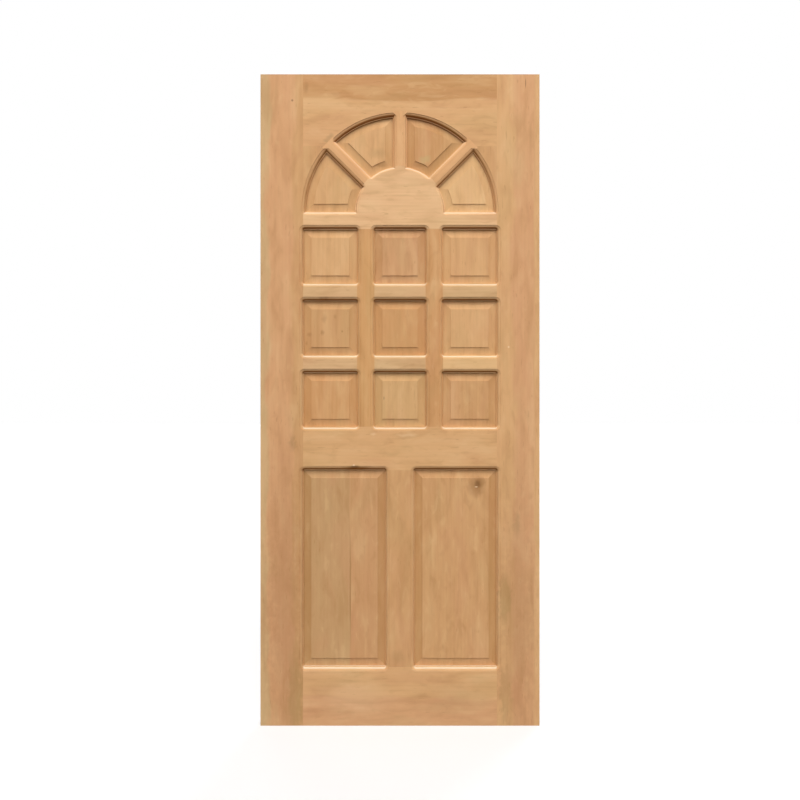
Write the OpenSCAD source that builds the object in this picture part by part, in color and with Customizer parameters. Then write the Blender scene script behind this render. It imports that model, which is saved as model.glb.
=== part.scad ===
// Solid wood door leaf with a fan top: stiles, rails, spokes, raised panels and dowels, each its own solid.
// Members are drawn in a sketch space: x to the right, y up, z towards the front face.
// stand_up() then turns the sketch into the part's frame: front towards -Y, height along +Z.

/* [Leaf] */
// Width over the two outer edges
leaf_w = 900; // [850:1:960]
// Height from the bottom edge to the top edge
leaf_h = 2100; // [1900:1:2300]
// Thickness of the frame members
leaf_t = 44; // [40:1:52]
// Chamfer along the outer edges of the stiles
arris = 1.2; // [0.4:0.2:3]

/* [Frame] */
// Stile, from the outer edge to the sight edge
stile_w = 137.5; // [115:0.5:155]
// Bottom rail
bottom_rail_h = 189; // [140:1:240]
// Lock rail, between its sight edges
lock_rail_h = 140; // [120:1:180]
// Mullion between the two lower panels
lower_mullion_w = 94; // [80:1:130]
// Mullion between the columns of square panels
mullion_w = 56; // [46:1:70]
// Muntin between the rows of square panels
muntin_h = 58; // [46:1:72]
// Opening of a square panel, bottom to top
square_h = 174; // [140:1:200]
// Opening of the middle column of square panels
middle_w = 165; // [130:1:190]

/* [Fan] */
// Height of the top rail above the crown of the arch
crown_h = 135.5; // [100:0.5:170]
// Height of the top rail at the stiles
top_rail_h = 231.5; // [215:0.5:260]
// Distance of the arch from the stile at its foot
arch_setback = 7.5; // [5:0.5:12]
// Height of the hub rail's arms
hub_arm_h = 58; // [46:1:72]
// Radius of the half-round hub
hub_r = 146; // [125:1:165]
// Spoke, between its sight edges
spoke_w = 46; // [40:1:54]
// Angle of the slanted spokes from level
spoke_angle = 45; // [42:0.5:48]
// How far below the arch's centre the spokes' centre lines meet
spoke_drop = 13.5; // [8:0.5:18]
// How deep a spoke is let into the edge of the arch
spoke_let = 17; // [14:0.5:24]

/* [Moulding] */
// Radius of the ovolo around each opening
ovolo_r = 9; // [7:0.5:11]
// Step from the face down to the ovolo
quirk = 2; // [1:0.25:3]
// Flat between that step and the ovolo
bead_flat = 1; // [0.5:0.25:2]
// Ledge between the ovolo and the sight edge
ledge = 2.75; // [1:0.25:4]
// Radius of the guide bearing that rounds the corners
bearing_r = 6; // [4:0.5:9]
// How far the fan's mouldings reach into their corners
corner_reach = 9.5; // [9:0.25:12]

/* [Panels] */
// Thickness of the tongue around a panel
tongue_t = 10; // [8:0.5:12]
// How far a tongue reaches past the sight edge
tongue_l = 10; // [8:0.5:12]
// Thickness over the raised field
field_t = 22; // [20:1:26]
// Upright step around the field
field_step = 1.8; // [0.8:0.2:3]
// Width of the cove between sight edge and field
cove_w = 25.5; // [20:0.5:30]
// Radius of the cove
cove_r = 130; // [110:1:180]

/* [Fits] */
// Play on each side of a tongue in its groove
tongue_fit = 0.15; // [0.1:0.05:0.3]
// Room between a tongue and the bottom of its groove
groove_room = 1; // [0.5:0.25:2]
// Play around a dowel in its bore
dowel_fit = 0.1; // [0.05:0.05:0.25]
// Room at each end of a dowel
dowel_room = 1; // [0.5:0.5:3]

/* [Dowels] */
// Diameter of the rail dowels
rail_dowel_d = 14; // [10:1:16]
// Length of the rail dowels
rail_dowel_l = 120; // [90:5:140]
// Diameter of the bar dowels
bar_dowel_d = 10; // [8:1:12]
// Length of the bar dowels
bar_dowel_l = 56; // [40:2:64]
// Height of the top rail's end that is left free of dowels
dowel_free_h = 50; // [45:1:60]
// Distance between the two dowels at an end of the lower mullion
mullion_dowel_gap = 36; // [30:1:44]
// Distance of a haunch block's dowel from the stile
haunch_dowel_inset = 28; // [24:1:32]

/* [Hidden] */
$fn = 96;
over = 1;
hair = 0.05;
reach = leaf_w;
frame_tone = "#D3A77A";
panel_tone = "#D8AE7E";
dowel_tone = "#E2C79C";

mould_w = ledge + ovolo_r + bead_flat;
mould_d = quirk + ovolo_r;
groove_w = tongue_t + 2 * tongue_fit;
groove_d = tongue_l + groove_room;
half_t = leaf_t / 2;

sight_x = leaf_w / 2 - stile_w;
arch_r = sight_x - arch_setback;
arch_y = leaf_h - crown_h - arch_r;
top_rail_y = leaf_h - top_rail_h;
hub_y = arch_y - hub_arm_h;
row_step = square_h + muntin_h;
lock_top = hub_y - 3 * square_h - 2 * muntin_h;
lock_y = lock_top - lock_rail_h;
mullion_x = (middle_w + mullion_w) / 2;

// Middle of the cove's circle, measured inwards from the sight edge and up from the panel's middle
cove_rise = field_t / 2 - field_step - tongue_t / 2;
cove_chord = norm([cove_w, cove_rise]);
cove_lift = sqrt(cove_r * cove_r - cove_chord * cove_chord / 4) / cove_chord;
cove_middle = [cove_w / 2 - cove_lift * cove_rise, tongue_t / 2 + cove_rise / 2 + cove_lift * cove_w];

// Openings as [left, bottom, right, top]; rows count downwards from 0, columns are -1, 0 and 1
lower_opening = [lower_mullion_w / 2, bottom_rail_h, sight_x, lock_y];
function row_top(row) = hub_y - row * row_step;
function column_x(column) =
    column == 0 ? [-middle_w / 2, middle_w / 2]
    : column > 0 ? [mullion_x + mullion_w / 2, sight_x]
    : [-sight_x, -mullion_x - mullion_w / 2];
function square_opening(row, column) =
    [column_x(column)[0], row_top(row) - square_h, column_x(column)[1], row_top(row)];

// Fan openings as [angle the lower edge faces, its distance from the arch's centre, the same for the upper edge]
spoke_shift = spoke_drop * cos(spoke_angle);
side_fan = [-90, 0, spoke_angle + 90, -spoke_shift - spoke_w / 2];
top_fan = [spoke_angle - 90, spoke_shift - spoke_w / 2, 180, -spoke_w / 2];

function polar(r, angle) = [r * cos(angle), r * sin(angle)];

// Where a spoke's centre line crosses a circle about the arch's centre, measured along that line
function spoke_at(r, angle) =
    spoke_drop * sin(angle) + sqrt(r * r - pow(spoke_drop * cos(angle), 2));
spoke_root = [0, arch_y - spoke_drop];

// Upper corner of a slanted spoke's end: the top rail lies inside it, the haunch block outside
spoke_corner_x = spoke_at(arch_r + spoke_let, spoke_angle) * cos(spoke_angle) - spoke_w / 2 * sin(spoke_angle);

// Dowels as [place, angle of the axis]
function spread(from, to, count) = [for (i = [0:count - 1]) from + (i + 0.5) * (to - from) / count];
side_dowels = [
    for (y = concat(
        spread(top_rail_y + dowel_free_h, leaf_h, 3),
        spread(hub_y, arch_y, 1),
        spread(lock_y, lock_top, 2),
        spread(0, bottom_rail_h, 3)
    )) [[sight_x, y], 0]
];
lower_mullion_dowels = [
    for (side = [-1, 1], y = [bottom_rail_h, lock_y]) [[side * mullion_dowel_gap / 2, y], 90]
];
mullion_dowels = [for (y = [lock_top, hub_y]) [[mullion_x, y], 90]];
function spoke_dowels(angle) = [
    for (along = [spoke_at(hub_r, angle), spoke_at(arch_r + spoke_let, angle)])
        [spoke_root + polar(along, angle), angle]
];
haunch_dowels = [[[sight_x - haunch_dowel_inset, top_rail_y], 90]];
side_bar_dowels = concat(mullion_dowels, spoke_dowels(spoke_angle), haunch_dowels);

// General helpers

module stand_up() { rotate([90, 0, 0]) children(); }
module flipped() { mirror([1, 0, 0]) children(); }
module both_sides() { children(); flipped() children(); }
module about_arch() { translate([0, arch_y, 0]) children(); }
module slab(thick) { linear_extrude(thick, center = true) children(); }

// A flat outline in x and z, run along y between two heights
module run_up(from, to) { translate([0, to, 0]) rotate([90, 0, 0]) linear_extrude(to - from) children(); }

// A flat outline in y and z, run along x between two places
module run_across(from, to) { translate([from, 0, 0]) rotate([90, 0, 90]) linear_extrude(to - from) children(); }

module rods(spots, d, l) {
    for (spot = spots)
        translate([spot[0].x, spot[0].y, 0]) rotate([0, 0, spot[1]]) rotate([0, 90, 0])
            cylinder(d = d, h = l, center = true);
}
module rail_bores(spots) { rods(spots, rail_dowel_d + 2 * dowel_fit, rail_dowel_l + 2 * dowel_room); }
module bar_bores(spots) { rods(spots, bar_dowel_d + 2 * dowel_fit, bar_dowel_l + 2 * dowel_room); }

// Moulding around the openings, cut on both faces at once

module moulding_section(face) {
    tip = bearing_r + mould_w;
    bead = bearing_r + ledge + ovolo_r;
    difference() {
        polygon([
            [0, face * (half_t + over)],
            [tip, face * (half_t + over)],
            [tip, face * (half_t - quirk)],
            [bead, face * (half_t - quirk)],
            [bead, face * (half_t - mould_d)],
            [0, face * (half_t - mould_d)]
        ]);
        translate([bead, face * (half_t - mould_d)]) circle(ovolo_r);
    }
}

// A straight-sided opening: a cutter with a guide bearing goes round it and leaves round corners
module square_moulding(opening) {
    left = opening[0] + bearing_r;
    bottom = opening[1] + bearing_r;
    right = opening[2] - bearing_r;
    top = opening[3] - bearing_r;
    corners = [[right, top], [right, bottom], [left, bottom], [left, top]];
    lengths = [top - bottom, right - left];
    for (face = [-1, 1], i = [0:3])
        translate([corners[i].x, corners[i].y, 0]) rotate([0, 0, -90 * i]) {
            rotate([90, 0, 0]) linear_extrude(lengths[i % 2]) moulding_section(face);
            rotate_extrude(angle = 90) moulding_section(face);
        }
}

// The same profile on both sides of a stretch, for the fan, where the edges meet in mitres
module mitre_section(from, to, face) {
    bead = ledge + ovolo_r;
    difference() {
        polygon([
            [from - mould_w, face * (half_t + over)],
            [to + mould_w, face * (half_t + over)],
            [to + mould_w, face * (half_t - quirk)],
            [to + bead, face * (half_t - quirk)],
            [to + bead, face * (half_t - mould_d)],
            [from - bead, face * (half_t - mould_d)],
            [from - bead, face * (half_t - quirk)],
            [from - mould_w, face * (half_t - quirk)]
        ]);
        for (x = [from - bead, to + bead]) translate([x, face * (half_t - mould_d)]) circle(ovolo_r);
    }
}

module mitre_edge(faces, away, face) {
    rotate([0, 0, faces]) run_up(-reach, reach) mitre_section(-reach, away, face);
}

// What lies short of a plane across the corner of a straight edge and a circle about the arch's centre;
// side tells which end of the edge, outward is 1 for the arch and -1 for the hub
module short_of_corner(faces, away, side, r, outward) {
    corner = polar(away, faces) + polar(sqrt(r * r - away * away), faces + side * 90);
    across = polar(1, faces) + outward * corner / r;
    angle = atan2(across.y, across.x);
    rotate([0, 0, angle])
        translate([corner * polar(1, angle) + corner_reach - 2 * reach, -reach, -leaf_t])
            cube([2 * reach, 2 * reach, 2 * leaf_t]);
}

module fan_moulding(fan) {
    about_arch() for (face = [-1, 1]) intersection() {
        rotate([0, 0, -45]) rotate_extrude(angle = 180) mitre_section(hub_r, arch_r, face);
        mitre_edge(fan[0], fan[1], face);
        mitre_edge(fan[2], fan[3], face);
        short_of_corner(fan[0], fan[1], 1, arch_r, 1);
        short_of_corner(fan[0], fan[1], 1, hub_r, -1);
        short_of_corner(fan[2], fan[3], -1, arch_r, 1);
        short_of_corner(fan[2], fan[3], -1, hub_r, -1);
    }
}

// Raised panels

module panel_section(from, to) {
    length = to - from;
    translate([from - tongue_l, -tongue_t / 2]) square([length + 2 * tongue_l, tongue_t]);
    translate([from + cove_w, -field_t / 2]) square([length - 2 * cove_w, field_t]);
    difference() {
        translate([from - 2 * over, -field_t / 2]) square([length + 4 * over, field_t]);
        for (face = [-1, 1]) {
            translate([from + cove_middle.x, face * cove_middle.y]) circle(cove_r);
            translate([to - cove_middle.x, face * cove_middle.y]) circle(cove_r);
        }
    }
}

module raised_panel(opening) {
    spare = tongue_l + over;
    intersection() {
        run_up(opening[1] - spare, opening[3] + spare) panel_section(opening[0], opening[2]);
        run_across(opening[0] - spare, opening[2] + spare) panel_section(opening[1], opening[3]);
    }
}

// One straight edge of a fan panel, open above the step; a hair off the curved edges' section, so that
// the corners where straight and curved edges meet stay clean
module fan_edge_section(edge) {
    translate([edge - reach, -tongue_t / 2 + hair]) square([reach + tongue_l, tongue_t - 2 * hair]);
    translate([edge - reach, -half_t]) square([reach - cove_w - hair, leaf_t]);
    difference() {
        translate([edge - cove_w - over, -half_t]) square([cove_w + 3 * over, leaf_t]);
        for (face = [-1, 1]) translate([edge - cove_middle.x, face * cove_middle.y]) circle(cove_r);
    }
}

module fan_edge(faces, away) { rotate([0, 0, faces]) run_up(-reach, reach) fan_edge_section(away); }

module fan_panel(fan) {
    about_arch() intersection() {
        rotate([0, 0, -45]) rotate_extrude(angle = 180) panel_section(hub_r, arch_r);
        fan_edge(fan[2], fan[3]);
        fan_edge(fan[0], fan[1]);
    }
}

// Frame members

module grooved_section(w) {
    difference() {
        square([w, leaf_t], center = true);
        for (side = [-1, 1])
            translate([side * w / 2, 0]) square([2 * groove_d, groove_w], center = true);
    }
}

// Stub tongues that run out past both ends of a member, from one end's tip to the other's
module stub_tongues(w, from, to) {
    translate([-w / 2, from - tongue_l, -tongue_t / 2]) cube([w, to - from + 2 * tongue_l, tongue_t]);
}

// A bar with a groove along both edges and a tongue at both ends, standing upright about x = 0
module bar(w, from, to) {
    run_up(from, to) grooved_section(w);
    stub_tongues(w - 2 * groove_d, from, to);
}

module lying(y) { translate([0, y, 0]) rotate([0, 0, -90]) children(); }

module stile() {
    difference() {
        run_up(0, leaf_h) difference() {
            polygon([
                [sight_x, -half_t], [leaf_w / 2 - arris, -half_t], [leaf_w / 2, -half_t + arris],
                [leaf_w / 2, half_t - arris], [leaf_w / 2 - arris, half_t], [sight_x, half_t]
            ]);
            translate([sight_x, 0]) square([2 * groove_d, groove_w], center = true);
        }
        square_moulding(lower_opening);
        for (row = [0:2]) square_moulding(square_opening(row, 1));
        fan_moulding(side_fan);
        rail_bores(side_dowels);
    }
}
module stile_left() { color(frame_tone) stand_up() flipped() stile(); }
module stile_right() { color(frame_tone) stand_up() stile(); }

module spoke_seat(angle) {
    along = spoke_at(arch_r + spoke_let, angle);
    translate(spoke_root) rotate([0, 0, angle - 90])
        translate([-spoke_w / 2, along - 2 * spoke_w, -half_t - over])
            cube([spoke_w, 2 * spoke_w, leaf_t + 2 * over]);
}

module arch_cut() {
    about_arch() {
        cylinder(r = arch_r, h = leaf_t + 2 * over, center = true);
        cylinder(r = arch_r + groove_d, h = groove_w, center = true);
    }
}

module top_rail() {
    color(frame_tone) stand_up() difference() {
        union() {
            translate([-sight_x, top_rail_y, -half_t]) cube([2 * sight_x, top_rail_h, leaf_t]);
            translate([-spoke_corner_x, arch_y, -half_t]) cube([2 * spoke_corner_x, leaf_h - arch_y, leaf_t]);
            translate([-sight_x - tongue_l, top_rail_y, -tongue_t / 2])
                cube([2 * (sight_x + tongue_l), top_rail_h, tongue_t]);
        }
        arch_cut();
        spoke_seat(90);
        both_sides() {
            spoke_seat(spoke_angle);
            fan_moulding(side_fan);
            fan_moulding(top_fan);
            rail_bores(side_dowels);
            bar_bores(side_bar_dowels);
        }
        bar_bores(spoke_dowels(90));
    }
}

module haunch() {
    w = sight_x - spoke_corner_x;
    h = top_rail_y - arch_y;
    difference() {
        union() {
            translate([spoke_corner_x, arch_y, -half_t]) cube([w, h, leaf_t]);
            translate([spoke_corner_x, arch_y, -tongue_t / 2]) cube([w + tongue_l, h, tongue_t]);
        }
        arch_cut();
        spoke_seat(spoke_angle);
        fan_moulding(side_fan);
        fan_moulding(top_fan);
        bar_bores(side_bar_dowels);
    }
}
module haunch_left() { color(frame_tone) stand_up() flipped() haunch(); }
module haunch_right() { color(frame_tone) stand_up() haunch(); }

// Outline of the hub rail, drawn in by the groove's depth for the part between the grooves
module hub_outline(inset, end_x) {
    translate([-end_x, hub_y + inset]) square([2 * end_x, hub_arm_h - 2 * inset]);
    intersection() {
        translate([0, arch_y]) circle(hub_r - inset);
        translate([-hub_r, hub_y + inset]) square([2 * hub_r, hub_arm_h + hub_r]);
    }
}

module hub_rail() {
    color(frame_tone) stand_up() difference() {
        union() {
            slab(tongue_t) hub_outline(groove_d, sight_x + tongue_l);
            difference() {
                slab(leaf_t) hub_outline(0, sight_x);
                slab(groove_w) difference() {
                    translate([-reach, hub_y - over]) square([2 * reach, hub_arm_h + hub_r + 2 * over]);
                    hub_outline(groove_d, reach);
                }
            }
        }
        square_moulding(square_opening(0, 0));
        both_sides() {
            square_moulding(square_opening(0, 1));
            fan_moulding(side_fan);
            fan_moulding(top_fan);
            rail_bores(side_dowels);
            bar_bores(side_bar_dowels);
        }
        bar_bores(spoke_dowels(90));
    }
}

module spoke(angle) {
    tip = spoke_at(arch_r + spoke_let, angle);
    difference() {
        translate(spoke_root) rotate([0, 0, angle - 90]) run_up(hub_arm_h, tip) grooved_section(spoke_w);
        about_arch() cylinder(r = hub_r, h = leaf_t + 2 * over, center = true);
    }
    difference() {
        translate(spoke_root) rotate([0, 0, angle - 90])
            stub_tongues(spoke_w - 2 * groove_d, hub_r, hub_r + 2 * tongue_l);
        about_arch() cylinder(r = hub_r - tongue_l, h = leaf_t, center = true);
    }
}
module slanted_spoke() {
    difference() {
        spoke(spoke_angle);
        fan_moulding(side_fan);
        fan_moulding(top_fan);
        bar_bores(spoke_dowels(spoke_angle));
    }
}
module spoke_left() { color(frame_tone) stand_up() flipped() slanted_spoke(); }
module spoke_right() { color(frame_tone) stand_up() slanted_spoke(); }
module spoke_centre() {
    color(frame_tone) stand_up() difference() {
        spoke(90);
        both_sides() fan_moulding(top_fan);
        bar_bores(spoke_dowels(90));
    }
}

module mullion() {
    difference() {
        translate([mullion_x, 0, 0]) bar(mullion_w, lock_top, hub_y);
        for (row = [0:2], column = [0, 1]) square_moulding(square_opening(row, column));
        bar_bores(mullion_dowels);
    }
}
module mullion_left() { color(frame_tone) stand_up() flipped() mullion(); }
module mullion_right() { color(frame_tone) stand_up() mullion(); }

// The muntin under a row of square panels
module muntin(row, column) {
    ends = column_x(column);
    color(frame_tone) stand_up() difference() {
        lying(row_top(row) - square_h - muntin_h / 2) bar(muntin_h, ends[0], ends[1]);
        for (beside = [row, row + 1]) square_moulding(square_opening(beside, column));
    }
}

module lock_rail() {
    color(frame_tone) stand_up() difference() {
        lying(lock_y + lock_rail_h / 2) bar(lock_rail_h, -sight_x, sight_x);
        for (column = [-1:1]) square_moulding(square_opening(2, column));
        both_sides() {
            square_moulding(lower_opening);
            rail_bores(side_dowels);
            bar_bores(mullion_dowels);
        }
        rail_bores(lower_mullion_dowels);
    }
}

module lower_mullion() {
    color(frame_tone) stand_up() difference() {
        bar(lower_mullion_w, bottom_rail_h, lock_y);
        both_sides() square_moulding(lower_opening);
        rail_bores(lower_mullion_dowels);
    }
}

module bottom_rail() {
    color(frame_tone) stand_up() difference() {
        union() {
            run_across(-sight_x, sight_x) difference() {
                translate([0, -half_t]) square([bottom_rail_h, leaf_t]);
                translate([bottom_rail_h, 0]) square([2 * groove_d, groove_w], center = true);
            }
            translate([-sight_x - tongue_l, 0, -tongue_t / 2])
                cube([2 * (sight_x + tongue_l), bottom_rail_h - groove_d, tongue_t]);
        }
        both_sides() {
            square_moulding(lower_opening);
            rail_bores(side_dowels);
        }
        rail_bores(lower_mullion_dowels);
    }
}

// Panels

module fan_panel_left() { color(panel_tone) stand_up() flipped() fan_panel(side_fan); }
module fan_panel_top_left() { color(panel_tone) stand_up() flipped() fan_panel(top_fan); }
module fan_panel_top_right() { color(panel_tone) stand_up() fan_panel(top_fan); }
module fan_panel_right() { color(panel_tone) stand_up() fan_panel(side_fan); }
module square_panel(row, column) { color(panel_tone) stand_up() raised_panel(square_opening(row, column)); }
module lower_panel_left() { color(panel_tone) stand_up() flipped() raised_panel(lower_opening); }
module lower_panel_right() { color(panel_tone) stand_up() raised_panel(lower_opening); }

// Dowels

module rail_dowels() {
    color(dowel_tone) stand_up() {
        both_sides() rods(side_dowels, rail_dowel_d, rail_dowel_l);
        rods(lower_mullion_dowels, rail_dowel_d, rail_dowel_l);
    }
}
module bar_dowels() {
    color(dowel_tone) stand_up() {
        both_sides() rods(side_bar_dowels, bar_dowel_d, bar_dowel_l);
        rods(spoke_dowels(90), bar_dowel_d, bar_dowel_l);
    }
}

stile_left();
stile_right();
top_rail();
haunch_left();
haunch_right();
hub_rail();
spoke_left();
spoke_centre();
spoke_right();
mullion_left();
mullion_right();
muntin(0, -1);  // muntin_upper_left
muntin(0, 0);  // muntin_upper_middle
muntin(0, 1);  // muntin_upper_right
muntin(1, -1);  // muntin_lower_left
muntin(1, 0);  // muntin_lower_middle
muntin(1, 1);  // muntin_lower_right
lock_rail();
lower_mullion();
bottom_rail();
fan_panel_left();
fan_panel_top_left();
fan_panel_top_right();
fan_panel_right();
square_panel(0, -1);  // square_panel_upper_left
square_panel(0, 0);  // square_panel_upper_middle
square_panel(0, 1);  // square_panel_upper_right
square_panel(1, -1);  // square_panel_centre_left
square_panel(1, 0);  // square_panel_centre_middle
square_panel(1, 1);  // square_panel_centre_right
square_panel(2, -1);  // square_panel_lower_left
square_panel(2, 0);  // square_panel_lower_middle
square_panel(2, 1);  // square_panel_lower_right
lower_panel_left();
lower_panel_right();
rail_dowels();
bar_dowels();
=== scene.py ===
# %% [markdown]
# A panelled door leaf with a fan top, dressed as unfinished planed alder.
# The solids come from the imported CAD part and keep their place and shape. This lesson adds what the
# solids lack: a camera, soft studio light, and a wood for every board with its own grain and marks.

# %% Load the frame
import math
import random

import bmesh
import bpy
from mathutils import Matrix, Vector


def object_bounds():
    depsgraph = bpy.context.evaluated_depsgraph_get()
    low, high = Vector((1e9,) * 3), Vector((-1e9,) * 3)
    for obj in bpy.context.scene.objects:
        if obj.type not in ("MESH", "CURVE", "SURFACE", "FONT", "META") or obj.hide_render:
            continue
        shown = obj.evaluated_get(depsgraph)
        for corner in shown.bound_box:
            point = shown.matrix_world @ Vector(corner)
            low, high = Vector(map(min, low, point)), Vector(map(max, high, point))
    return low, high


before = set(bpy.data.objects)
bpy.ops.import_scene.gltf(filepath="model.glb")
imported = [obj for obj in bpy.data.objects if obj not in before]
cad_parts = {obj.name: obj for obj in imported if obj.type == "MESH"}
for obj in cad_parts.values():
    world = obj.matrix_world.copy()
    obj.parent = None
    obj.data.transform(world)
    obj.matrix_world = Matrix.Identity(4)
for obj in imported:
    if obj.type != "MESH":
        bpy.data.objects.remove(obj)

scene = bpy.context.scene
cad_low, cad_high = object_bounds()
leaf_wide, leaf_thick, leaf_tall = cad_high - cad_low
print(f"door leaf {leaf_wide:.3f} x {leaf_thick:.3f} x {leaf_tall:.3f} m in {len(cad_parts)} nodes")

# %% [markdown]
# The camera looks straight at the front face from the leaf's middle height, so that no edge leans.
# A lens and a distance go together: the same picture width can be had from near or from far, and the
# nearer camera shows more of the mouldings' inner edges. A distance of 2.4 m shows them as they are here.

# %% Camera
PICTURE_WIDE = 2.579
CAMERA_AWAY = 2.4
camera = bpy.data.objects.new("camera", bpy.data.cameras.new("camera"))
scene.collection.objects.link(camera)
camera.location = (0, cad_low.y - CAMERA_AWAY, leaf_tall / 2)
camera.rotation_euler = (math.radians(90), 0, 0)
camera.data.lens = camera.data.sensor_width * CAMERA_AWAY / PICTURE_WIDE
scene.camera = camera
scene.view_settings.view_transform = "Standard"
print(f"camera {camera.data.lens:.1f} mm, {CAMERA_AWAY} m in front of the face")

# %% [markdown]
# Colours are easiest to pick as sRGB hex values, but shaders count in linear light, so one function turns
# one into the other. A second small function adds a node, sets its settings and fills its sockets: a
# value that is another node's socket is linked, and anything else is written into the socket.

# %% Helpers for colours and nodes
def linear(hex_colour):
    """The sRGB curve turned back: a straight stretch near black, and a power above it."""
    channels = [int(hex_colour[i:i + 2], 16) / 255 for i in (1, 3, 5)]
    return [c / 12.92 if c <= 0.04045 else ((c + 0.055) / 1.055) ** 2.4 for c in channels] + [1]


def add(tree, kind, settings, sockets):
    node = tree.nodes.new(kind)
    for name, value in settings.items():
        setattr(node, name, value)
    for name, value in sockets.items():
        if isinstance(value, bpy.types.NodeSocket):
            tree.links.new(value, node.inputs[name])
        else:
            node.inputs[name].default_value = value
    return node


# A Mix node of colours has its sockets at these places
FACTOR, FIRST, SECOND, MIXED = 0, 6, 7, 2


def blank_material(name):
    material = bpy.data.materials.new(name)
    material.use_nodes = True
    material.node_tree.nodes.clear()
    return material, material.node_tree


# %% [markdown]
# The surroundings are white only where the camera or a mirror sees them. One switch in the floor's paint and
# in the world tells those rays from the ones that carry light.

# %% Switch for rays that see
def seen_by_eye(tree):
    rays = add(tree, "ShaderNodeLightPath", {}, {}).outputs
    direct = add(tree, "ShaderNodeMath", {"operation": "MAXIMUM"},
                 {0: rays["Is Camera Ray"], 1: rays["Is Glossy Ray"]}).outputs[0]
    return add(tree, "ShaderNodeMath", {"operation": "MAXIMUM"},
               {0: direct, 1: rays["Is Transmission Ray"]}).outputs[0]


# %% [markdown]
# The floor is a wide pale sheet. To the camera it glows a little, so that it runs into the white
# surroundings and still keeps the leaf's shadow. To every other ray it is a duller floor: a bright one
# would throw light up under the mouldings, where the real door is dark.

# %% Floor
FLOOR_WIDE = 60
FLOOR_CELLS = 8
FLOOR_GLOW = 0.42
floor_mesh = bpy.data.meshes.new("floor")
shape = bmesh.new()
bmesh.ops.create_grid(shape, x_segments=FLOOR_CELLS, y_segments=FLOOR_CELLS, size=FLOOR_WIDE / 2)
shape.to_mesh(floor_mesh)
shape.free()
floor = bpy.data.objects.new("floor", floor_mesh)
scene.collection.objects.link(floor)

# Emulsion paint on a smooth floor: flat and even, with no gloss at all
floor_paint, tree = blank_material("pale_floor_paint")
dull = add(tree, "ShaderNodeBsdfDiffuse", {}, {"Color": linear("#3C3A37")})
pale = add(tree, "ShaderNodeBsdfDiffuse", {}, {"Color": linear("#C4C4C4")})
glow = add(tree, "ShaderNodeEmission", {}, {"Color": linear("#FFFFFF"), "Strength": FLOOR_GLOW})
bright = add(tree, "ShaderNodeAddShader", {}, {0: pale.outputs[0], 1: glow.outputs[0]})
either = add(tree, "ShaderNodeMixShader", {},
             {0: seen_by_eye(tree), 1: dull.outputs[0], 2: bright.outputs[0]})
add(tree, "ShaderNodeOutputMaterial", {}, {"Surface": either.outputs[0]})
floor.data.materials.append(floor_paint)
print(f"floor {FLOOR_WIDE} m wide")

# %% [markdown]
# The light is a studio's. Two soft suns halfway up, left and right in front, and a weak one overhead make the
# sills shine and leave the undersides of the mouldings dark. A low one in front keeps those from going black.
# A sun on each side lights the leaf's narrow edges, two more light its back, and a wide soft box above the
# front makes the upper half a little lighter than the lower.

# %% Light
SKY_LEVEL = 0.03
world = bpy.data.worlds.new("studio")
scene.world = world
world.use_nodes = True
tree = world.node_tree
tree.nodes.clear()
sky = add(tree, "ShaderNodeBackground", {}, {"Color": linear("#FFFFFF"), "Strength": SKY_LEVEL})
white = add(tree, "ShaderNodeBackground", {}, {"Color": linear("#FFFFFF"), "Strength": 1})
either = add(tree, "ShaderNodeMixShader", {},
             {0: seen_by_eye(tree), 1: sky.outputs[0], 2: white.outputs[0]})
add(tree, "ShaderNodeOutputWorld", {}, {"Surface": either.outputs[0]})


def hang_lamp(name, kind, energy, towards):
    """A lamp at the origin whose light comes from the direction towards."""
    light = bpy.data.lights.new(name, kind)
    light.energy = energy
    lamp = bpy.data.objects.new(name, light)
    scene.collection.objects.link(lamp)
    lamp.rotation_euler = towards.to_track_quat("Z", "Y").to_euler()
    return lamp


def sun(name, azimuth, elevation, energy, spread):
    """A soft sun, azimuth 0 in front of the leaf and 90 to its right, angles in degrees."""
    turn = math.radians(azimuth)
    rise = math.radians(elevation)
    towards = Vector((math.sin(turn) * math.cos(rise), -math.cos(turn) * math.cos(rise), math.sin(rise)))
    hang_lamp(name, "SUN", energy, towards).data.angle = math.radians(spread)


sun("overhead", azimuth=0, elevation=74, energy=0.45, spread=40)
sun("high_left", azimuth=-30, elevation=47, energy=1.0, spread=26)
sun("high_right", azimuth=30, elevation=47, energy=1.0, spread=26)
sun("low_front", azimuth=4, elevation=16, energy=1.18, spread=26)
sun("side_left", azimuth=-105, elevation=12, energy=0.8, spread=50)
sun("side_right", azimuth=105, elevation=12, energy=0.8, spread=50)
sun("back_high", azimuth=155, elevation=40, energy=1.6, spread=30)
sun("back_low", azimuth=200, elevation=14, energy=0.9, spread=30)

SOFT_BOX_PLACE = Vector((0, -1.9, 3.9))
SOFT_BOX_AIM = Vector((0, 0, 1.6))
SOFT_BOX_WATTS = 18
SOFT_BOX_WIDE = 3.4
SOFT_BOX_DEEP = 0.9
soft_box = hang_lamp("soft_box", "AREA", SOFT_BOX_WATTS, SOFT_BOX_PLACE - SOFT_BOX_AIM)
soft_box.location = SOFT_BOX_PLACE
soft_box.visible_camera = False
soft_box.data.shape = "RECTANGLE"
soft_box.data.size = SOFT_BOX_WIDE
soft_box.data.size_y = SOFT_BOX_DEEP

# %% [markdown]
# The wood is red alder: pale honey, fine and even, with soft cloudy patches, faint growth rings and now and
# then a knot. It is planed and sanded and has no lacquer, so it is matt. One picture of grain on all boards
# would run across the joints, so each board gets its own copy of the same recipe, moved and turned
# to its own place in the log. The patterns are made in three dimensions and in metres: that way faces,
# mouldings and end grain of a board agree with each other.

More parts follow.
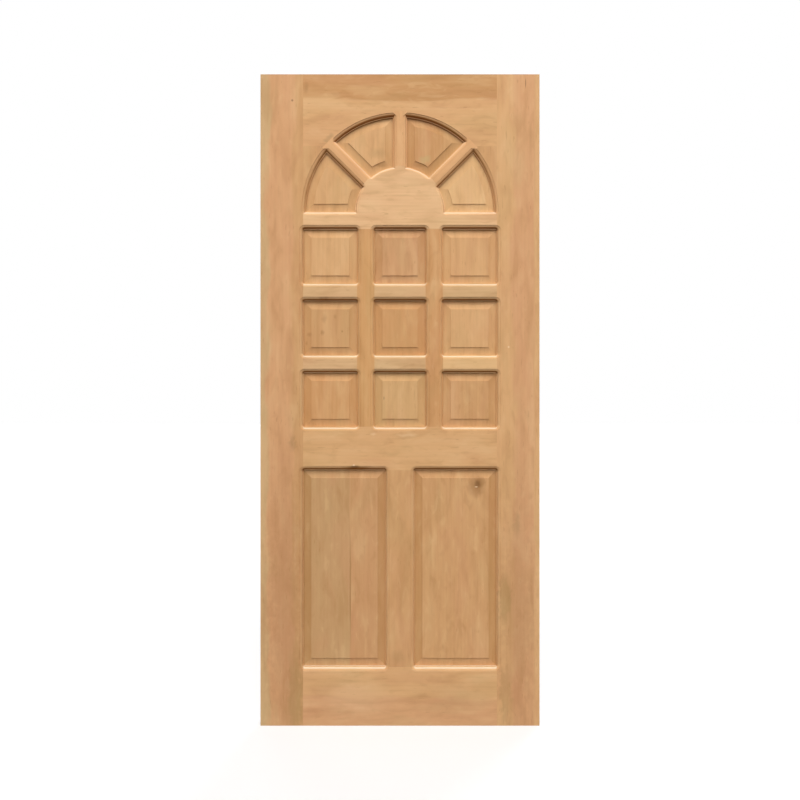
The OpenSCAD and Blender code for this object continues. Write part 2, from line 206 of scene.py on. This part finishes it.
# %% Tones of the boards
TONES = {
    "blush": "#EABC8B",
    "pale": "#E6B983",
    "peach": "#E2AD79",
    "cream": "#DCB282",
    "honey": "#DDAC78",
    "straw": "#D7AA75",
    "tan": "#D3A16E",
    "rose": "#DAA576",
    "olive": "#D1AA7A",
    "dun": "#C89C6C",
    "wheat": "#D6A169",
    "amber": "#D39D68",
    "clay": "#D29E6F",
    "fawn": "#CE9B6B",
    "toffee": "#CC9864",
}
HEARTWOOD = "#A8733F"
SAPWOOD = "#EEC896"
GREEN_CAST = "#B99C66"
ROSE_CAST = "#D2956C"
MM = 0.001
print(len(TONES), "tones of alder")

# %% [markdown]
# Two tools draw all of the figure. A pattern is a cloudy noise that is stretched along the grain, with its
# size given in millimetres. A tint moves a colour towards another one, by more and more where a value goes
# from one level to a second.

# %% Pattern and tint
def pattern(tree, spot, across_mm, along_mm, detail, sway, output=0):
    per_metre = [1 / (mm * MM) for mm in (across_mm, across_mm, along_mm)]
    stretched = add(tree, "ShaderNodeVectorMath", {"operation": "MULTIPLY"},
                    {0: spot, 1: per_metre}).outputs[0]
    return add(tree, "ShaderNodeTexNoise", {}, {
        "Vector": stretched, "Scale": 1, "Detail": detail, "Roughness": 0.5, "Distortion": sway,
    }).outputs[output]


def tint(tree, colour, value, start, full, amount, target):
    share = add(tree, "ShaderNodeMapRange", {"interpolation_type": "SMOOTHSTEP"},
                {0: value, 1: start, 2: full, 3: 0, 4: amount}).outputs[0]
    return add(tree, "ShaderNodeMix", {"data_type": "RGBA"},
               {FACTOR: share, FIRST: colour, SECOND: linear(target)}).outputs[MIXED]


# %% [markdown]
# A wide board is often glued up from strips, or cut across sapwood and heartwood, so its tone changes at
# lines along the grain. A glue line is sharp, and the grain beyond it is from another stretch of the log. In
# grown wood the line is blurred, it strays, and the grain runs on.

# %% Strips of a board
GLUED, GROWN = 2, 9
STRAY = 6
LOG_STEP = 0.61


def lay_strips(tree, tone, strips, across, wander):
    """The colour of a board of strips, and how far along the log each strip was cut."""
    body = linear(TONES[tone])
    shift = 0
    for edge_mm, strip_tone, blur_mm in strips:
        blur = blur_mm * MM
        edge = edge_mm * MM + STRAY / 2 * blur
        strayed = add(tree, "ShaderNodeMath", {"operation": "MULTIPLY_ADD"},
                      {0: wander, 1: STRAY * blur, 2: across}).outputs[0]
        beyond = add(tree, "ShaderNodeMapRange", {"interpolation_type": "SMOOTHSTEP"},
                     {0: strayed, 1: edge - blur, 2: edge + blur, 3: 0, 4: 1}).outputs[0]
        body = add(tree, "ShaderNodeMix", {"data_type": "RGBA"},
                   {FACTOR: beyond, FIRST: body, SECOND: linear(TONES[strip_tone])}).outputs[MIXED]
        if blur_mm == GLUED:
            shift = add(tree, "ShaderNodeMath", {"operation": "MULTIPLY_ADD"},
                        {0: beyond, 1: LOG_STEP, 2: shift}).outputs[0]
    return body, shift


# %% [markdown]
# The figure goes from coarse to fine: clouds and smaller blotches of heartwood and sapwood, casts that lean
# to green or to rose, long streaks, short flecks, growth rings about the log's middle, and fibres. Real
# fibres are far finer than a pixel, which is 3.2 mm here, so they are drawn just coarse enough to show.

# %% Figure of the wood
RING_WIDE = 0.011
# Blender's Wave texture repeats at this length when its scale is 1
WAVE_LENGTH = 2 * math.pi / 20


def figure(tree, body, grain, fibres, streaky, blotchy):
    clouds = pattern(tree, grain, across_mm=48, along_mm=190, detail=2, sway=0.6)
    blotches = pattern(tree, grain, across_mm=20, along_mm=60, detail=2, sway=0.6)
    casts = pattern(tree, grain, across_mm=80, along_mm=230, detail=2, sway=0.5)
    streaks = pattern(tree, grain, across_mm=8, along_mm=330, detail=2, sway=0)
    flecks = pattern(tree, grain, across_mm=4, along_mm=26, detail=0, sway=0)
    rings = add(tree, "ShaderNodeTexWave", {"wave_type": "RINGS", "rings_direction": "Z"}, {
        "Vector": grain, "Scale": WAVE_LENGTH / RING_WIDE, "Distortion": 5, "Detail": 2,
        "Detail Scale": 0.12, "Detail Roughness": 0.5,
    }).outputs["Fac"]
    colour = tint(tree, body, clouds, start=0.48, full=0.72, amount=0.24, target=HEARTWOOD)
    colour = tint(tree, colour, clouds, start=0.5, full=0.28, amount=0.2, target=SAPWOOD)
    colour = tint(tree, colour, blotches, start=0.5, full=0.75, amount=blotchy, target=HEARTWOOD)
    colour = tint(tree, colour, blotches, start=0.45, full=0.25, amount=blotchy, target=SAPWOOD)
    colour = tint(tree, colour, casts, start=0.5, full=0.7, amount=0.14, target=GREEN_CAST)
    colour = tint(tree, colour, casts, start=0.5, full=0.3, amount=0.2, target=ROSE_CAST)
    colour = tint(tree, colour, streaks, start=0.5, full=0.75, amount=streaky, target=HEARTWOOD)
    colour = tint(tree, colour, streaks, start=0.48, full=0.25, amount=streaky, target=SAPWOOD)
    colour = tint(tree, colour, flecks, start=0.76, full=0.84, amount=0.25, target=HEARTWOOD)
    colour = tint(tree, colour, rings, start=0.55, full=1, amount=0.04, target=HEARTWOOD)
    return tint(tree, colour, fibres, start=0.5, full=0.8, amount=streaky, target=HEARTWOOD)


# %% [markdown]
# Knots, checks and stains sit in single boards. Each is a soft ellipsoid of a darker or lighter tone, so it
# shows on every face that cuts through it, and a fine noise makes its edge ragged.

# %% Stains in the wood
def stain(tree, colour, place, marks):
    ragged = pattern(tree, place, across_mm=14, along_mm=20, detail=1, sway=0.4, output="Color")
    for mark_tone, amount, centre_mm, half_mm, blur, wobble_mm in marks:
        wobble = wobble_mm * MM
        strayed = add(tree, "ShaderNodeVectorMath", {"operation": "MULTIPLY_ADD"},
                      {0: ragged, 1: [wobble] * 3, 2: place}).outputs[0]
        middle = [mm * MM + wobble / 2 for mm in centre_mm]
        from_middle = add(tree, "ShaderNodeVectorMath", {"operation": "SUBTRACT"},
                          {0: strayed, 1: middle}).outputs[0]
        in_halves = add(tree, "ShaderNodeVectorMath", {"operation": "DIVIDE"},
                        {0: from_middle, 1: [mm * MM for mm in half_mm]}).outputs[0]
        away = add(tree, "ShaderNodeVectorMath", {"operation": "LENGTH"}, {0: in_halves}).outputs["Value"]
        colour = tint(tree, colour, away, start=1, full=1 - blur, amount=amount, target=mark_tone)
    return colour


# %% [markdown]
# The faces of a board aren't all alike. End grain drinks light, so faces across the grain are darker. The
# rest is painted light and shade, picked out by the way that a face points: painted shade makes the hollow
# sides of the panels browner than their fields and the undersides of the mouldings brown, and a painted
# highlight makes their upright sides a little paler and the sills palest. An ambient occlusion node, which
# sees how closed in a spot is, paints shade as fine dark lines in the inner corners.

# %% Faces of a board, with their painted light and shade
# Painted shade on the sideways faces of the panels' coves: how strong it is for each kind of panel, and its
# colour
PAINTED_COVE_SHADE_AMOUNTS = {"lower_panel": 0.36, "square_panel": 0.2, "fan_panel": 0.2}
PAINTED_COVE_SHADE = "#A4763E"
# Reach, samples and colour of the painted shade in the inner corners and under the mouldings
PAINTED_CORNER_SHADE_REACH = 0.003
PAINTED_CORNER_SHADE_SAMPLES = 8
PAINTED_SHADE_BROWN = "#8E5206"
# Colour of the painted highlight on the sills, and the pieces that don't get it
PAINTED_SILL_HIGHLIGHT = "#EEE2C6"
WITHOUT_PAINTED_SILL_HIGHLIGHT = ["stile_left", "stile_right", "top_rail"]
# Upright bars whose sideways faces get a painted highlight
BARS_WITH_PAINTED_SIDE_LIGHT = ["stile_left", "stile_right", "mullion_left", "mullion_right", "lower_mullion"]


def shade_faces(tree, colour, piece, turn):
    facing = add(tree, "ShaderNodeNewGeometry", {}, {}).outputs["Normal"]
    along_grain = (-math.sin(math.radians(turn)), 0, math.cos(math.radians(turn)))
    lengthwise = add(tree, "ShaderNodeVectorMath", {"operation": "DOT_PRODUCT"},
                     {0: facing, 1: along_grain}).outputs["Value"]
    end_share = add(tree, "ShaderNodeMath", {"operation": "MULTIPLY"},
                    {0: lengthwise, 1: lengthwise}).outputs[0]
    colour = tint(tree, colour, end_share, start=0.1, full=1, amount=0.4, target=HEARTWOOD)
    leaning = add(tree, "ShaderNodeSeparateXYZ", {}, {0: facing}).outputs
    to_side = add(tree, "ShaderNodeMath", {"operation": "ABSOLUTE"}, {0: leaning["X"]}).outputs[0]
    # Painted shade: faces of the panels' coves that point sideways are made browner
    for kind, shade in PAINTED_COVE_SHADE_AMOUNTS.items():
        if kind in piece:
            colour = tint(tree, colour, to_side, start=0.02, full=0.1, amount=shade, target=PAINTED_COVE_SHADE)
    # Painted highlight: faces of the upright bars that point sideways are made paler
    if piece in BARS_WITH_PAINTED_SIDE_LIGHT:
        colour = tint(tree, colour, to_side, start=0.3, full=0.8, amount=0.3, target=SAPWOOD)
    # Painted shade: where the ambient occlusion finds a closed-in corner, the colour goes dark brown
    openness = add(tree, "ShaderNodeAmbientOcclusion", {"samples": PAINTED_CORNER_SHADE_SAMPLES},
                   {"Distance": PAINTED_CORNER_SHADE_REACH}).outputs["AO"]
    colour = tint(tree, colour, openness, start=0.75, full=0.3, amount=0.64, target=PAINTED_SHADE_BROWN)
    # Painted shade: faces that point down, the undersides of the mouldings, are made dark brown
    colour = tint(tree, colour, leaning["Z"], start=-0.2, full=-0.75, amount=0.84, target=PAINTED_SHADE_BROWN)
    # Painted highlight: faces that point up, the sills, are made pale
    if piece not in WITHOUT_PAINTED_SILL_HIGHLIGHT:
        colour = tint(tree, colour, leaning["Z"], start=0.3, full=0.8, amount=0.62, target=PAINTED_SILL_HIGHLIGHT)
    return colour


# %% [markdown]
# Now the recipe is put together for one board. A die with the board's own seed says where in the log it lay
# and how streaky and blotchy it is, so every run gives the same boards.

# %% Wood of a board
UPRIGHT, LYING, SPOKE_LEAN = 0, -90, 45
# Where in its log a board may lie, in metres: sideways, outwards from the middle, and along
LOG_REACHES = [(-0.05, 0.05), (0.06, 0.14), (0, 9)]
STREAKY_RANGE = (0.01, 0.075)
BLOTCHY_RANGE = (0.08, 0.22)
# Nearly all of a noise lies between these two levels
NOISE_LOW, NOISE_HIGH = 0.3, 0.7
SMOOTHEST, ROUGHEST = 0.68, 0.82
FIBRE_RELIEF = 0.0004
RELIEF_STRENGTH = 0.25


def board_wood(piece, tone, turn, seed, strips, marks):
    # Planed red alder: bare sanded fibres scatter the light, so it shows its own colour and hardly any gloss
    material, tree = blank_material("alder_" + piece)
    dice = random.Random(seed)
    log_offset = [dice.uniform(*reach) for reach in LOG_REACHES]
    streaky = dice.uniform(*STREAKY_RANGE)
    blotchy = dice.uniform(*BLOTCHY_RANGE)
    place = add(tree, "ShaderNodeTexCoord", {}, {}).outputs["Object"]
    turned = add(tree, "ShaderNodeMapping", {}, {
        "Vector": place, "Location": log_offset, "Rotation": (0, math.radians(turn), 0),
    }).outputs[0]
    split = add(tree, "ShaderNodeSeparateXYZ", {}, {0: place}).outputs
    across = split["X"] if turn == UPRIGHT else split["Z"]
    wander = pattern(tree, turned, across_mm=40, along_mm=160, detail=2, sway=0.4)
    body, shift = lay_strips(tree, tone, strips, across, wander)
    moved = add(tree, "ShaderNodeCombineXYZ", {}, {2: shift}).outputs[0]
    grain = add(tree, "ShaderNodeVectorMath", {"operation": "ADD"}, {0: turned, 1: moved}).outputs[0]
    fibres = pattern(tree, grain, across_mm=3.4, along_mm=170, detail=1, sway=0)
    colour = figure(tree, body, grain, fibres, streaky, blotchy)
    if marks:
        colour = stain(tree, colour, place, marks)
    colour = shade_faces(tree, colour, piece, turn)
    roughness = add(tree, "ShaderNodeMapRange", {},
                    {0: fibres, 1: NOISE_LOW, 2: NOISE_HIGH, 3: SMOOTHEST, 4: ROUGHEST}).outputs[0]
    bump = add(tree, "ShaderNodeBump", {},
               {"Height": fibres, "Strength": RELIEF_STRENGTH, "Distance": FIBRE_RELIEF}).outputs[0]
    shader = add(tree, "ShaderNodeBsdfPrincipled", {}, {
        "Base Color": colour, "Roughness": roughness, "Normal": bump, "IOR": 1.5, "Specular IOR Level": 0.25,
    })
    add(tree, "ShaderNodeOutputMaterial", {}, {"Surface": shader.outputs[0]})
    return material


# %% [markdown]
# Which board got which tone was chance at the bench. A row holds a board's tone, the way its grain runs, in
# degrees from upright, and its strips: where a strip begins, in millimetres from the leaf's middle or from
# its foot, the strip's tone, and whether the line is glued or grown.

# %% Boards of the leaf
BOARDS = {
    "stile_left": ("olive", UPRIGHT, [(-424, "rose", GROWN), (-345, "tan", GROWN)]),
    "stile_right": ("honey", UPRIGHT, [(366, "rose", GROWN), (434, "honey", GLUED)]),
    "top_rail": ("honey", LYING, [(2020, "toffee", GROWN)]),
    "haunch_left": ("tan", UPRIGHT, []),
    "haunch_right": ("tan", UPRIGHT, []),
    "hub_rail": ("blush", LYING, []),
    "spoke_left": ("peach", SPOKE_LEAN, []),
    "spoke_centre": ("peach", UPRIGHT, []),
    "spoke_right": ("peach", -SPOKE_LEAN, []),
    "mullion_left": ("wheat", UPRIGHT, []),
    "mullion_right": ("amber", UPRIGHT, []),
    "muntin_upper_left": ("cream", LYING, []),
    "muntin_upper_middle": ("cream", LYING, []),
    "muntin_upper_right": ("cream", LYING, []),
    "muntin_lower_left": ("cream", LYING, []),
    "muntin_lower_middle": ("cream", LYING, []),
    "muntin_lower_right": ("pale", LYING, []),
    "lock_rail": ("honey", LYING, []),
    "lower_mullion": ("tan", UPRIGHT, []),
    "bottom_rail": ("rose", LYING, [(92, "honey", GROWN)]),
    "fan_panel_left": ("honey", UPRIGHT, []),
    "fan_panel_top_left": ("honey", UPRIGHT, []),
    "fan_panel_top_right": ("toffee", UPRIGHT, []),
    "fan_panel_right": ("pale", UPRIGHT, []),
    "square_panel_upper_left": ("honey", UPRIGHT, []),
    "square_panel_upper_middle": ("clay", UPRIGHT, []),
    "square_panel_upper_right": ("honey", UPRIGHT, []),
    "square_panel_centre_left": ("tan", UPRIGHT, []),
    "square_panel_centre_middle": ("amber", UPRIGHT, []),
    "square_panel_centre_right": ("honey", UPRIGHT, []),
    "square_panel_lower_left": ("amber", UPRIGHT, []),
    "square_panel_lower_middle": ("straw", UPRIGHT, []),
    "square_panel_lower_right": ("tan", UPRIGHT, []),
    "lower_panel_left": ("dun", UPRIGHT, [(-161, "fawn", GLUED)]),
    "lower_panel_right": ("tan", UPRIGHT, []),
    "rail_dowels": ("pale", LYING, []),
    "bar_dowels": ("pale", LYING, []),
}
print(len(BOARDS), "boards,", sum(len(strips) for tone, turn, strips in BOARDS.values()), "lines of strips")

# %% [markdown]
# Marks belong to single boards: knots that go through the wood, and checks, pin knots and stains that lie
# only in the front face. A row holds the mark's tone, its strength, its middle and its half sizes in
# millimetres, the share of its size that is blurred, and its wobble in millimetres.

# %% Marks in the wood
KNOT_BROWN = "#835423"
CORE_BROWN = "#55371D"
KNOT_LIGHT = "#F0CFA4"
SMUDGE = "#94764A"
OLIVE_STAIN = "#A58350"
GREEN_STAIN = "#C4AE7A"
# A brown that makes the lower parts of the stiles and the right of the bottom rail darker
DARKENING_BROWN = "#A8744A"
RED_KNOT = "#6B3F2E"
FRONT = cad_low.y / MM
THROUGH, SKIN = 60, 8
MARKS = {
    "lower_panel_right": [
        (KNOT_BROWN, 0.42, (247, FRONT, 772), (36, THROUGH, 48), 0.7, 16),
        (KNOT_BROWN, 0.3, (262, FRONT, 784), (22, THROUGH, 20), 0.6, 10),
        (CORE_BROWN, 0.4, (250, FRONT, 778), (13, THROUGH, 18), 0.7, 8),
        (KNOT_LIGHT, 0.8, (247, FRONT, 769), (6, THROUGH, 2.5), 0.5, 2),
    ],
    "muntin_upper_left": [
        (RED_KNOT, 0.4, (-247, FRONT, 1374), (28, SKIN, 12), 0.7, 8),
    ],
    "lower_panel_left": [
        (KNOT_BROWN, 0.4, (-161, FRONT, 440), (3.5, THROUGH, 230), 0.7, 3),
    ],
    "lower_mullion": [
        (OLIVE_STAIN, 0.25, (-8, FRONT, 222), (34, THROUGH, 34), 0.8, 16),
    ],
    "lock_rail": [
        (KNOT_BROWN, 0.7, (-138, FRONT, 830), (60, THROUGH, 12), 0.8, 8),
        (CORE_BROWN, 0.5, (-148, FRONT, 833), (20, THROUGH, 10), 0.7, 6),
        (KNOT_LIGHT, 0.8, (-149, FRONT, 840), (5, SKIN, 3.5), 0.5, 1),
        (KNOT_LIGHT, 0.35, (-86, FRONT, 941), (15, SKIN, 7), 0.8, 10),
        (KNOT_LIGHT, 0.3, (20, FRONT, 936), (50, SKIN, 7), 0.8, 12),
    ],
    "stile_left": [
        (CORE_BROWN, 0.5, (-347.5, FRONT, 2016), (5, SKIN, 5), 0.7, 2),
        (SMUDGE, 0.4, (-347, FRONT, 912), (18, SKIN, 40), 0.9, 18),
        # The wide brown row below makes the lower half of this stile darker
        (DARKENING_BROWN, 0.44, (-370, FRONT, 400), (95, THROUGH, 700), 0.9, 60),
        (OLIVE_STAIN, 0.4, (-336, FRONT, 110), (36, THROUGH, 200), 0.7, 40),
    ],
    "stile_right": [
        (CORE_BROWN, 0.5, (405, FRONT, 2072), (2.5, SKIN, 22), 0.8, 2),
        (KNOT_LIGHT, 0.9, (350, FRONT, 1221), (4, SKIN, 4), 0.6, 1),
        # The wide brown row below makes the lower half of this stile darker
        (DARKENING_BROWN, 0.34, (375, FRONT, 350), (90, THROUGH, 740), 0.9, 60),
        (OLIVE_STAIN, 0.4, (338, FRONT, 413), (26, THROUGH, 95), 0.5, 28),
        (SMUDGE, 0.3, (376, FRONT, 650), (16, THROUGH, 60), 0.9, 20),
        (OLIVE_STAIN, 0.3, (340, FRONT, 100), (30, THROUGH, 130), 0.7, 40),
    ],
    "bottom_rail": [
        (KNOT_LIGHT, 0.18, (-150, FRONT, 90), (180, THROUGH, 90), 0.9, 40),
        (DARKENING_BROWN, 0.18, (150, FRONT, 90), (180, THROUGH, 90), 0.9, 40),
    ],
    "top_rail": [
        (SMUDGE, 0.3, (-222, FRONT, 1903), (12, SKIN, 12), 0.95, 6),
        (SMUDGE, 0.3, (-230, FRONT, 1895), (12, SKIN, 12), 0.95, 6),
        (SMUDGE, 0.35, (-239, FRONT, 1886), (14, SKIN, 10), 0.95, 6),
        (KNOT_BROWN, 0.25, (-303, FRONT, 2058), (12, SKIN, 26), 0.9, 10),
    ],
    "fan_panel_top_left": [
        (OLIVE_STAIN, 0.3, (-70, FRONT, 1848), (45, THROUGH, 24), 0.9, 16),
        # Partly a stain and partly painted shade: a brown band on the hollow below the field, just above the
        # hub
        (KNOT_BROWN, 0.28, (-62, FRONT, 1811), (30, THROUGH, 9), 0.8, 4),
    ],
    "fan_panel_top_right": [
        (GREEN_STAIN, 0.4, (80, FRONT, 1829), (28, THROUGH, 17), 0.7, 20),
        # Partly a stain and partly painted shade: a brown band on the hollow below the field, just above the
        # hub
        (KNOT_BROWN, 0.28, (67, FRONT, 1811), (30, THROUGH, 9), 0.8, 4),
    ],
    "square_panel_centre_left": [
        (KNOT_BROWN, 0.35, (-252, FRONT, 1268), (9, THROUGH, 13), 0.9, 8),
        (KNOT_BROWN, 0.3, (-294, FRONT, 1262), (13, THROUGH, 10), 0.9, 8),
        (KNOT_BROWN, 0.3, (-303, FRONT, 1234), (6, THROUGH, 11), 0.9, 5),
        (KNOT_BROWN, 0.2, (-246, FRONT, 1314), (15, THROUGH, 20), 0.9, 12),
        (KNOT_BROWN, 0.2, (-210, FRONT, 1320), (9, THROUGH, 13), 0.9, 8),
        (KNOT_BROWN, 0.4, (-187, FRONT, 1272), (4, THROUGH, 5), 0.8, 3),
    ],
    "square_panel_lower_middle": [
        (CORE_BROWN, 0.6, (-52, FRONT, 1056), (2, THROUGH, 9), 0.8, 1),
    ],
}
for seed, (piece, (tone, turn, strips)) in enumerate(BOARDS.items()):
    wood = board_wood(piece, tone, turn, seed, strips, MARKS.get(piece, []))
    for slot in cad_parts[piece].material_slots:
        slot.material = wood
print(len(BOARDS), "boards have their wood,", len(MARKS), "of them with marks")
